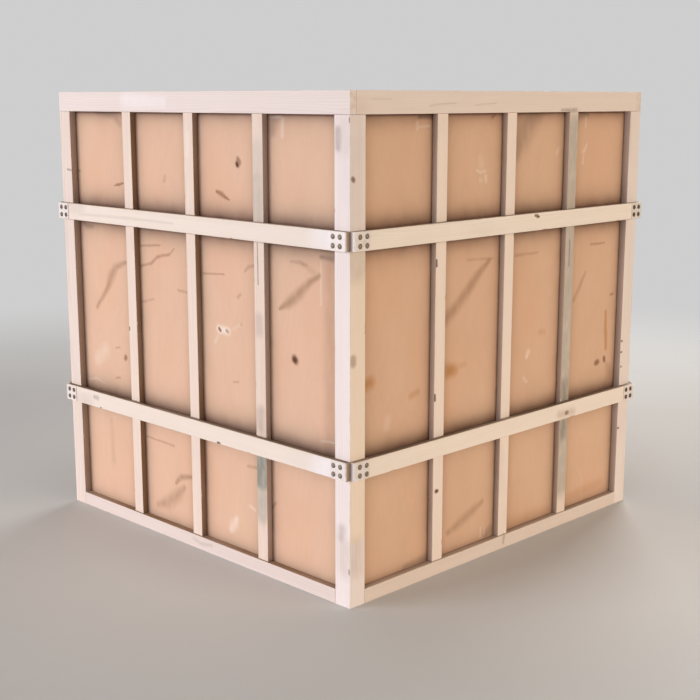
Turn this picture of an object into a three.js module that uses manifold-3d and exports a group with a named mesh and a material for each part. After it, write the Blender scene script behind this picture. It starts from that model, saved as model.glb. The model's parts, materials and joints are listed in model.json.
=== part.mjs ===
// Shipping crate: a cleated plywood crate with a drop-in lid that lifts off.
// Millimetres, +Z up. The origin is on the floor under the crate's centre, and the front faces -Y.

import * as THREE from 'three';
import { mergeVertices } from 'three/addons/utils/BufferGeometryUtils.js';
import Module from 'manifold-3d';

const wasm = await Module();
wasm.setup();

// Driving dimensions.
const WIDTH = 1450; // outside of the timber frame, on both sides of its square plan
const HEIGHT = 1500; // floor to the top of the rim
const POST = 62; // square corner post
const RAIL_DEPTH = 25; // thickness of the rails, and how far the plywood lies behind the frame's face
const TOP_RAIL = 66; // height of the rails round the rim
const BOTTOM_RAIL = 46; // height of the rails at the floor, and of the bearers
const WALL_PLY = 12;
const GROOVE_DEPTH = 10; // how far each sheet of wall plywood is let into its posts
const STUD = { width: 47, depth: 20 };
const STUDS_PER_WALL = 3;
const BATTEN = { height: 57, depth: 18 };
const BATTEN_CENTRES = { lower: 423, upper: 1087 }; // heights above the floor
const BRACKET = { sheet: 2.5, leg: 60, height: 55 };
const BOLT = { radius: 8, rise: 3.9, firstFromCorner: 19, columnStep: 28, rowStep: 26, sides: 10 };
const FLOOR_PLY = 18;
const BEARER = { width: 70, fromCentre: 560 };
const LID_PLY = 12;
const LID_BOARD = { width: 62, depth: 24.4 }; // the boards round the lid
const LID_PLAY = 2.5; // between the lid's edge and the rim, all round
const LID_BATTEN = { width: 47, depth: 20, fromCentre: 331 };
const LID_SCREW = { shank: 3, head: 6, headDepth: 3.5, tip: 4, length: 60, sides: 12, sunk: 0.5 };
const GAP = 0.3; // between pieces that touch

// Places worked out from them.
const HALF = WIDTH / 2;
const POST_INNER = HALF - POST;
const PLY_OUTER = HALF - RAIL_DEPTH - GAP;
const PLY_INNER = PLY_OUTER - WALL_PLY;
const RIM_INNER = HALF - RAIL_DEPTH;
const TOP_RAIL_FOOT = HEIGHT - TOP_RAIL;
const LID_HALF = RIM_INNER - LID_PLAY;
const LID_BOARD_FOOT = HEIGHT - LID_BOARD.depth;
const LID_PLY_FOOT = LID_BOARD_FOOT - GAP - LID_PLY;
const WALL_TOP = LID_PLY_FOOT - GAP;
const SCREW_FROM_CENTRE = RIM_INNER - (RIM_INNER - POST_INNER - GROOVE_DEPTH) / 2;

const WALLS = [
  { name: 'front', turn: 0, spansCorners: true },
  { name: 'right', turn: 1, spansCorners: false },
  { name: 'back', turn: 2, spansCorners: true },
  { name: 'left', turn: 3, spansCorners: false },
];
const CORNERS = ['front_right', 'back_right', 'back_left', 'front_left'];
const QUARTER_TURN = Math.PI / 2;

const LOOKS = {
  frame: { color: '#ecdbd2', roughness: 0.75, metalness: 0 },
  batten: { color: '#eedfcc', roughness: 0.7, metalness: 0 },
  plywood: { color: '#e8bf9f', roughness: 0.7, metalness: 0 },
  steel: { color: '#d6cfc8', roughness: 0.4, metalness: 0.9 },
};

// A named mesh with a material of its own.
function piece(name, geometry, look) {
  const mesh = new THREE.Mesh(geometry, new THREE.MeshStandardMaterial(LOOKS[look]));
  mesh.name = name;
  return mesh;
}

// A box from its lowest to its highest corner.
function block(low, high) {
  const size = high.map((value, axis) => value - low[axis]);
  const middle = high.map((value, axis) => (value + low[axis]) / 2);
  return new THREE.BoxGeometry(...size).translate(...middle);
}

// An upright prism on a plan outline, from one height to another.
function prism(outline, foot, top) {
  const shape = new THREE.Shape(outline.map(([x, y]) => new THREE.Vector2(x, y)));
  const options = { depth: top - foot, bevelEnabled: false };
  return new THREE.ExtrudeGeometry(shape, options).translate(0, 0, foot);
}

// A solid turned about the Z axis from [radius, height] points.
function turned(profile, sides) {
  const points = profile.map(([radius, height]) => new THREE.Vector2(radius, height));
  return new THREE.LatheGeometry(points, sides).rotateX(QUARTER_TURN);
}

function toSolid(geometry) {
  const bare = geometry.clone();
  bare.deleteAttribute('normal');
  bare.deleteAttribute('uv');
  const merged = mergeVertices(bare, 1e-4);
  const mesh = new wasm.Mesh({
    numProp: 3,
    vertProperties: new Float32Array(merged.attributes.position.array),
    triVerts: new Uint32Array(merged.index.array),
  });
  return new wasm.Manifold(mesh);
}

function toGeometry(solid) {
  const mesh = solid.getMesh();
  const geometry = new THREE.BufferGeometry();
  geometry.setAttribute('position', new THREE.BufferAttribute(mesh.vertProperties, 3));
  geometry.setIndex(new THREE.BufferAttribute(mesh.triVerts, 1));
  return geometry;
}

function cut(geometry, cutters) {
  const solids = cutters.map(toSolid);
  return toGeometry(solids.reduce((left, cutter) => left.subtract(cutter), toSolid(geometry)));
}

function join(geometries) {
  return toGeometry(geometries.map(toSolid).reduce((sum, solid) => sum.add(solid)));
}

// A group turned about Z by a number of quarter turns.
function turnedGroup(turn, meshes) {
  const group = new THREE.Group();
  group.rotation.z = turn * QUARTER_TURN;
  group.add(...meshes);
  return group;
}

// Plan outline of the front right post: square, with a groove for the plywood of each wall.
function postOutline() {
  const grooveEnd = POST_INNER + GROOVE_DEPTH;
  const near = PLY_INNER - GAP;
  const far = RIM_INNER;
  return [
    [POST_INNER, -HALF],
    [HALF, -HALF],
    [HALF, -POST_INNER],
    [far, -POST_INNER],
    [far, -grooveEnd],
    [near, -grooveEnd],
    [near, -POST_INNER],
    [POST_INNER, -POST_INNER],
    [POST_INNER, -near],
    [grooveEnd, -near],
    [grooveEnd, -far],
    [POST_INNER, -far],
  ];
}

// The post is rebated at its top for the two rails that lap over it, and drilled for a lid screw.
function postGeometry() {
  const shoulder = TOP_RAIL_FOOT - GAP;
  const frontRebate = block([POST_INNER - 1, -HALF - 1, shoulder], [HALF + 1, -RIM_INNER, WALL_TOP + 1]);
  const sideRebate = block([RIM_INNER, -HALF - 1, shoulder], [HALF + 1, -POST_INNER + 1, WALL_TOP + 1]);
  return cut(prism(postOutline(), 0, WALL_TOP), [frontRebate, sideRebate, screwHole('front', 1)]);
}

function cornerPost(corner, turn) {
  return turnedGroup(turn, [piece(`post_${corner}`, postGeometry(), 'frame')]);
}

function wallPlywood(wall) {
  const reach = POST_INNER + GROOVE_DEPTH - 1;
  const sheet = block([-reach, -PLY_OUTER, 0], [reach, -PLY_INNER, WALL_TOP]);
  return piece(`${wall.name}_wall_plywood`, sheet, 'plywood');
}

// The front and back top rails run over the posts, and the side ones fit between them.
function topRail(wall) {
  const reach = wall.spansCorners ? HALF : RIM_INNER - GAP;
  const rail = block([-reach, -HALF, TOP_RAIL_FOOT], [reach, -RIM_INNER, HEIGHT]);
  return piece(`${wall.name}_top_rail`, rail, 'frame');
}

function bottomRail(wall) {
  const reach = POST_INNER - GAP;
  const rail = block([-reach, -HALF, 0], [reach, -RIM_INNER, BOTTOM_RAIL]);
  return piece(`${wall.name}_bottom_rail`, rail, 'frame');
}

// Studs share the opening between the posts equally, and are numbered from the left.
function studs(wall) {
  const bay = (2 * POST_INNER) / (STUDS_PER_WALL + 1);
  return Array.from({ length: STUDS_PER_WALL }, (_, i) => {
    const centre = (i + 1) * bay - POST_INNER;
    const low = [centre - STUD.width / 2, -RIM_INNER - STUD.depth, BOTTOM_RAIL + GAP];
    const high = [centre + STUD.width / 2, -RIM_INNER, TOP_RAIL_FOOT - GAP];
    return piece(`${wall.name}_stud_${i + 1}`, block(low, high), 'frame');
  });
}

// Battens cross the outside of the frame and end at its corners.
function battens(wall) {
  return Object.entries(BATTEN_CENTRES).map(([level, centre]) => {
    const low = [-HALF, -HALF - GAP - BATTEN.depth, centre - BATTEN.height / 2];
    const high = [HALF, -HALF - GAP, centre + BATTEN.height / 2];
    return piece(`${wall.name}_${level}_batten`, block(low, high), 'batten');
  });
}

function wallGroup(wall) {
  const boards = [wallPlywood(wall), topRail(wall), bottomRail(wall)];
  return turnedGroup(wall.turn, [...boards, ...studs(wall), ...battens(wall)]);
}

// Plan outline of the sheet steel, from the post's corner: over one batten, down into the notch
// between the two battens' ends, and out over the other. "out" is measured away from a wall's face.
function bracketOutline() {
  const inside = GAP + BATTEN.depth + GAP;
  const outside = inside + BRACKET.sheet;
  const notch = GAP + BRACKET.sheet;
  const half = [
    [-BRACKET.leg, outside],
    [-BRACKET.leg, inside],
    [GAP, inside],
  ];
  const mirrored = half.map(([along, out]) => [out, along]).reverse();
  const outline = [...half, [GAP, GAP], ...mirrored, [outside, notch], [notch, notch], [notch, outside]];
  return outline.map(([right, front]) => [HALF + right, -HALF - front]);
}

// One round bolt head, with its axis along Z and its seat at the origin.
function boltHead() {
  const { radius, rise, sides } = BOLT;
  const seat = -BRACKET.sheet / 2;
  const crown = [[radius, 0.3 * rise], [0.62 * radius, 0.82 * rise], [0, rise]];
  return turned([[0, seat], [radius, seat], ...crown], sides);
}

// The four heads on a leg, two by two, placed for the front wall's leg.
function boltHeads(centre) {
  const seat = -HALF - GAP - BATTEN.depth - GAP - BRACKET.sheet;
  const heads = [];
  for (const column of [0, 1]) {
    for (const row of [-0.5, 0.5]) {
      const along = HALF - BOLT.firstFromCorner - column * BOLT.columnStep;
      const head = boltHead().rotateX(QUARTER_TURN);
      heads.push(head.translate(along, seat, centre + row * BOLT.rowStep));
    }
  }
  return heads;
}

// Mirrors a geometry in the vertical plane through the post's corner and the crate's centre.
function mirroredAcrossCorner(geometry) {
  const swap = new THREE.Matrix4().set(0, -1, 0, 0, -1, 0, 0, 0, 0, 0, 1, 0, 0, 0, 0, 1);
  const copy = geometry.clone().applyMatrix4(swap);
  const index = copy.index.array;
  for (let i = 0; i < index.length; i += 3) {
    [index[i], index[i + 1]] = [index[i + 1], index[i]];
  }
  return copy;
}

function cornerBracket(corner, turn, level) {
  const centre = BATTEN_CENTRES[level];
  const foot = centre - BRACKET.height / 2;
  const sheet = prism(bracketOutline(), foot, foot + BRACKET.height);
  const heads = boltHeads(centre);
  const geometry = join([sheet, ...heads, ...heads.map(mirroredAcrossCorner)]);
  return turnedGroup(turn, [piece(`${level}_bracket_${corner}`, geometry, 'steel')]);
}

// The floor sheet is notched round the corner posts and lies on the bearers.
function floorPlywood() {
  const edge = PLY_INNER - GAP;
  const notch = POST_INNER - GAP;
  const outline = [];
  for (let turn = 0; turn < CORNERS.length; turn += 1) {
    const corner = [[notch, -edge], [notch, -notch], [edge, -notch]];
    const angle = turn * QUARTER_TURN;
    const [cos, sin] = [Math.round(Math.cos(angle)), Math.round(Math.sin(angle))];
    outline.push(...corner.map(([x, y]) => [x * cos - y * sin, x * sin + y * cos]));
  }
  const foot = BOTTOM_RAIL + GAP;
  return piece('floor_plywood', prism(outline, foot, foot + FLOOR_PLY), 'plywood');
}

function floorBearers() {
  const reach = PLY_INNER - GAP;
  return ['left', 'middle', 'right'].map((side, i) => {
    const centre = (i - 1) * BEARER.fromCentre;
    const low = [centre - BEARER.width / 2, -reach, 0];
    const high = [centre + BEARER.width / 2, reach, BOTTOM_RAIL];
    return piece(`floor_bearer_${side}`, block(low, high), 'frame');
  });
}

// Half section of a countersunk wood screw from its tip up to its head's rim, made larger by "extra".
// The head's flat top is at height 0.
function screwProfile(extra) {
  const { shank, head, headDepth, tip, length } = LID_SCREW;
  return [
    [0, -length - extra],
    [shank + extra, tip - length - extra],
    [shank + extra, -headDepth],
    [head + extra, 0],
  ];
}

// Where the head of the screw at one end (-1 left, 1 right) of the front or back board lies.
function screwPlace(side, end) {
  const away = side === 'front' ? -1 : 1;
  return [end * SCREW_FROM_CENTRE, away * SCREW_FROM_CENTRE, HEIGHT - LID_SCREW.sunk];
}

// The clearance hole for that screw, open at the top.
function screwHole(side, end) {
  const above = 2 * LID_SCREW.sunk;
  const profile = [...screwProfile(GAP), [LID_SCREW.head + GAP, above], [0, above]];
  return turned(profile, LID_SCREW.sides).translate(...screwPlace(side, end));
}

function lidPlywood() {
  const sheet = block([-LID_HALF, -LID_HALF, LID_PLY_FOOT], [LID_HALF, LID_HALF, LID_PLY_FOOT + LID_PLY]);
  const holes = ['front', 'back'].flatMap((side) => [-1, 1].map((end) => screwHole(side, end)));
  return piece('lid_plywood', cut(sheet, holes), 'plywood');
}

// The lid's front and back boards run its full width, and its side boards fit between them.
function lidBoards() {
  const inner = LID_HALF - LID_BOARD.width;
  const long = block([-LID_HALF, -LID_HALF, LID_BOARD_FOOT], [LID_HALF, -inner, HEIGHT]);
  const drilled = cut(long, [screwHole('front', -1), screwHole('front', 1)]);
  const reach = inner - GAP;
  const short = block([inner, -reach, LID_BOARD_FOOT], [LID_HALF, reach, HEIGHT]);
  return [
    piece('lid_board_front', drilled, 'frame'),
    piece('lid_board_back', drilled.clone().rotateZ(Math.PI), 'frame'),
    piece('lid_board_right', short, 'frame'),
    piece('lid_board_left', short.clone().rotateZ(Math.PI), 'frame'),
  ];
}

function lidBattens() {
  const reach = LID_HALF - LID_BOARD.width - GAP;
  return ['left', 'middle', 'right'].map((side, i) => {
    const centre = (i - 1) * LID_BATTEN.fromCentre;
    const low = [centre - LID_BATTEN.width / 2, -reach, LID_BOARD_FOOT];
    const high = [centre + LID_BATTEN.width / 2, reach, LID_BOARD_FOOT + LID_BATTEN.depth];
    return piece(`lid_batten_${side}`, block(low, high), 'frame');
  });
}

function lidScrews() {
  return ['front', 'back'].flatMap((side) => [-1, 1].map((end) => {
    const geometry = turned([...screwProfile(0), [0, 0]], LID_SCREW.sides);
    const screw = piece(`lid_screw_${side}_${end < 0 ? 'left' : 'right'}`, geometry, 'steel');
    screw.position.set(...screwPlace(side, end));
    return screw;
  }));
}

function crateBody() {
  const body = new THREE.Group();
  body.add(...WALLS.map(wallGroup));
  body.add(...CORNERS.map(cornerPost));
  for (const level of Object.keys(BATTEN_CENTRES)) {
    body.add(...CORNERS.map((corner, turn) => cornerBracket(corner, turn, level)));
  }
  body.add(floorPlywood(), ...floorBearers());
  return body;
}

function lid() {
  const group = new THREE.Group();
  group.add(lidPlywood(), ...lidBoards(), ...lidBattens(), ...lidScrews());
  return group;
}

const crate = new THREE.Group();
crate.add(crateBody(), lid());

export default crate;
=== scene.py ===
"""Looks of the shipping crate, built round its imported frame.

Metres, +Z up, the front faces -Y. A place on a wall is given in the wall's own terms: x runs to the right
as seen from outside, from the wall's middle, and z is the height above the floor.
"""

import itertools
import json
import math
import random

import bmesh
import bpy
import numpy as np
from mathutils import Matrix, Vector


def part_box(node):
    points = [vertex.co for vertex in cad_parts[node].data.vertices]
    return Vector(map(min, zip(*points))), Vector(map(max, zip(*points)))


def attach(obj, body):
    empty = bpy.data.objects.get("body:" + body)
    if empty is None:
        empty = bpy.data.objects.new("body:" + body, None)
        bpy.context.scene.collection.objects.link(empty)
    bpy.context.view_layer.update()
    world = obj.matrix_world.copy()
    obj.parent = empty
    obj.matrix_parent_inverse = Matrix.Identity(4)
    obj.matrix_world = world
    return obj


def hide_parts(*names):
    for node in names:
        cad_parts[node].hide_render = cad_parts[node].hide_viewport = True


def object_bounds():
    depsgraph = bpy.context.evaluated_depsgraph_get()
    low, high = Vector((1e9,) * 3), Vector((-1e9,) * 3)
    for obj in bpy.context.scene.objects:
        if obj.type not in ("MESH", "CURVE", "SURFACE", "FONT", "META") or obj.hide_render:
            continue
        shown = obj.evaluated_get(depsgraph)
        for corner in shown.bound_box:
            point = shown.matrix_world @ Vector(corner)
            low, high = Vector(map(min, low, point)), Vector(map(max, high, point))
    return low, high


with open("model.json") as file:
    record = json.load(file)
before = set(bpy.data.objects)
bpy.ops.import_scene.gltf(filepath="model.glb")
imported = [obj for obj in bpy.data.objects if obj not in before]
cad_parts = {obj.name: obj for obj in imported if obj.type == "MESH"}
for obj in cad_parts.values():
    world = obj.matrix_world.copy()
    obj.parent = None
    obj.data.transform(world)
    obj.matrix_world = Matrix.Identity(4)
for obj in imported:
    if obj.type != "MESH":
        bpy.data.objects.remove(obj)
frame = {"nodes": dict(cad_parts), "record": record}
CAD_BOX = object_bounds()
SLOT_OF = {part["node"]: part["material_slot"] for part in frame["record"]["subparts"]}
BODY_OF = {node: body for body, nodes in frame["record"]["behaviour"]["bodies"].items() for node in nodes}

MM = 0.001
WALLS = ("front", "right", "back", "left")  # each a quarter turn on from the last
MARKED_WALLS = ("front", "right")  # the two that the photo shows, with marks of their own
CORNERS = ("front_right", "back_right", "back_left", "front_left")
LEVELS = ("lower", "upper")
STUDS = (1, 2, 3)

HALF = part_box("post_front_right")[1].x  # from the crate's middle to the outer face of its frame
POST_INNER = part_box("post_front_right")[0].x
LEG_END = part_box("upper_bracket_front_right")[0].x  # from the crate's middle to the end of a bracket's leg
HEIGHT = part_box("front_top_rail")[1].z
PLY_FACE = -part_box("front_wall_plywood")[0].y  # from the crate's middle to the outer face of a wall sheet
PLY_THICKNESS = PLY_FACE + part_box("front_wall_plywood")[1].y
BATTEN_FACE = -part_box("front_upper_batten")[0].y
BAY_STEP = (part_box("front_stud_3")[0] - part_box("front_stud_2")[0]).x  # from one stud to the next
BAYS = len(STUDS) + 1


# ---------------------------------------------------------------- shader graphs


class Graph:
    """A node tree with short calls: an input is a number, a colour, a vector or another node's output."""

    def __init__(self, tree):
        self.tree = tree

    def put(self, socket, value):
        if isinstance(value, bpy.types.NodeSocket):
            self.tree.links.new(value, socket)
        else:
            socket.default_value = value

    def add(self, kind, inputs=None, **settings):
        node = self.tree.nodes.new(kind)
        for name, value in settings.items():
            setattr(node, name, value)
        for name, value in (inputs or {}).items():
            self.put(node.inputs[name], value)
        return node

    def math(self, operation, a, b=0.0, c=0.0, clamp=False):
        return self.add("ShaderNodeMath", {0: a, 1: b, 2: c}, operation=operation, use_clamp=clamp).outputs[0]

    def times(self, a, b):
        return self.math("MULTIPLY", a, b)

    def total(self, *terms):
        """The sum of (weight, value) pairs."""
        result = 0.0
        for weight, value in terms:
            result = self.math("MULTIPLY_ADD", value, weight, result)
        return result

    def vector(self, operation, a, b=(0.0, 0.0, 0.0)):
        second = "Scale" if operation == "SCALE" else 1
        node = self.add("ShaderNodeVectorMath", operation=operation)
        self.put(node.inputs[0], a)
        self.put(node.inputs[second], b)
        return node.outputs["Value" if operation in ("LENGTH", "DOT_PRODUCT", "DISTANCE") else "Vector"]

    def along(self, vector, direction):
        return self.vector("DOT_PRODUCT", vector, direction)

    def stretch(self, vector, shares):
        return self.vector("MULTIPLY", vector, shares)

    def mix(self, factor, a, b, blend="MIX"):
        node = self.add("ShaderNodeMix", data_type="RGBA", blend_type=blend, clamp_factor=True)
        for index, value in ((0, factor), (6, a), (7, b)):
            self.put(node.inputs[index], value)
        return node.outputs[2]

    def tinted(self, colour, tint):
        return self.mix(1.0, colour, tint, blend="MULTIPLY")

    def ramp(self, value, low, high, to_low=0.0, to_high=1.0):
        """Eases from to_low, where value is low, to to_high, where it is high."""
        node = self.add("ShaderNodeMapRange", {"Value": value, "From Min": low, "From Max": high})
        node.interpolation_type = "SMOOTHSTEP"
        self.put(node.inputs["To Min"], to_low)
        self.put(node.inputs["To Max"], to_high)
        return node.outputs["Result"]

    def noise(self, vector, per_metre, detail=2, roughness=0.5, colour=False):
        """Noise that changes about that many times a metre along each axis."""
        vector = self.stretch(vector, per_metre)
        inputs = {"Vector": vector, "Scale": 1.0, "Detail": detail, "Roughness": roughness}
        return self.add("ShaderNodeTexNoise", inputs).outputs["Color" if colour else "Fac"]

    def attribute(self, name, output="Fac"):
        return self.add("ShaderNodeAttribute", attribute_name=name).outputs[output]

    def place(self):
        return self.add("ShaderNodeTexCoord").outputs["Object"]


def wall_axes(turn):
    """The directions to the right along a wall and out of it, that many quarter turns from the front."""
    angle = turn * math.pi / 2
    return (math.cos(angle), math.sin(angle), 0.0), (math.sin(angle), -math.cos(angle), 0.0)


def facing_out(graph, turn):
    """1 on faces that look straight out of that wall, and 0 on others."""
    normal = graph.add("ShaderNodeNewGeometry").outputs["True Normal"]
    return graph.ramp(graph.along(normal, wall_axes(turn)[1]), 0.6, 0.8)


def wall_place(graph, turn):
    """How far to the right and how high a place lies on that wall."""
    point = graph.place()
    return graph.along(point, wall_axes(turn)[0]), graph.along(point, (0.0, 0.0, 1.0))


def srgb(red, green, blue):
    """A colour given as 0 to 255 screen values, as the linear RGBA that shaders take."""
    def linear(value):
        value /= 255
        return value / 12.92 if value <= 0.04045 else ((value + 0.055) / 1.055) ** 2.4

    return (linear(red), linear(green), linear(blue), 1.0)


def shade(colour, red, green, blue):
    return (colour[0] * red, colour[1] * green, colour[2] * blue, 1.0)


def new_material(name):
    material = bpy.data.materials.new(name)
    material.use_nodes = True
    material.node_tree.nodes.clear()
    graph = Graph(material.node_tree)
    shader = graph.add("ShaderNodeBsdfPrincipled")
    graph.add("ShaderNodeOutputMaterial", {"Surface": shader.outputs["BSDF"]})
    return material, graph, shader


def finish_material(graph, shader, colour, roughness, height, relief):
    """Wires colour, roughness and a bump, in which a height of 1 stands "relief" metres proud."""
    bump = graph.add("ShaderNodeBump", {"Height": height, "Distance": relief, "Strength": 1.0})
    graph.put(shader.inputs["Base Color"], colour)
    graph.put(shader.inputs["Roughness"], roughness)
    graph.put(shader.inputs["Normal"], bump.outputs["Normal"])


# ---------------------------------------------------------------- marks of use
# A kind of mark is a colour, and the share of a stroke's half width over which its edge fades.

KINDS = {
    "tan": (srgb(246, 219, 190), 0.3),
    "bleached": (srgb(244, 233, 231), 1.1),
    "smear_and_shade": (srgb(168, 126, 98), 1.3),
    "slash": (srgb(150, 96, 66), 1.2),
    "grime_and_shadow": (srgb(112, 90, 80), 1.3),
    "grey": (srgb(146, 142, 130), 1.0),
    "rust": (srgb(190, 126, 66), 1.25),
    "pale": (srgb(246, 224, 208), 1.25),
    "knot": (srgb(112, 56, 26), 1.0),
    "hole": (srgb(48, 30, 20), 0.8),
}
STROKE_EDGE = 1.3  # where a stroke has faded out, as a share of its half width
STREWN_KINDS = {
    "back": ("smear_and_shade", "slash", "knot", "pale", "rust"),
    "left": ("smear_and_shade", "slash", "knot", "pale", "grime_and_shadow"),
}

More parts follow.
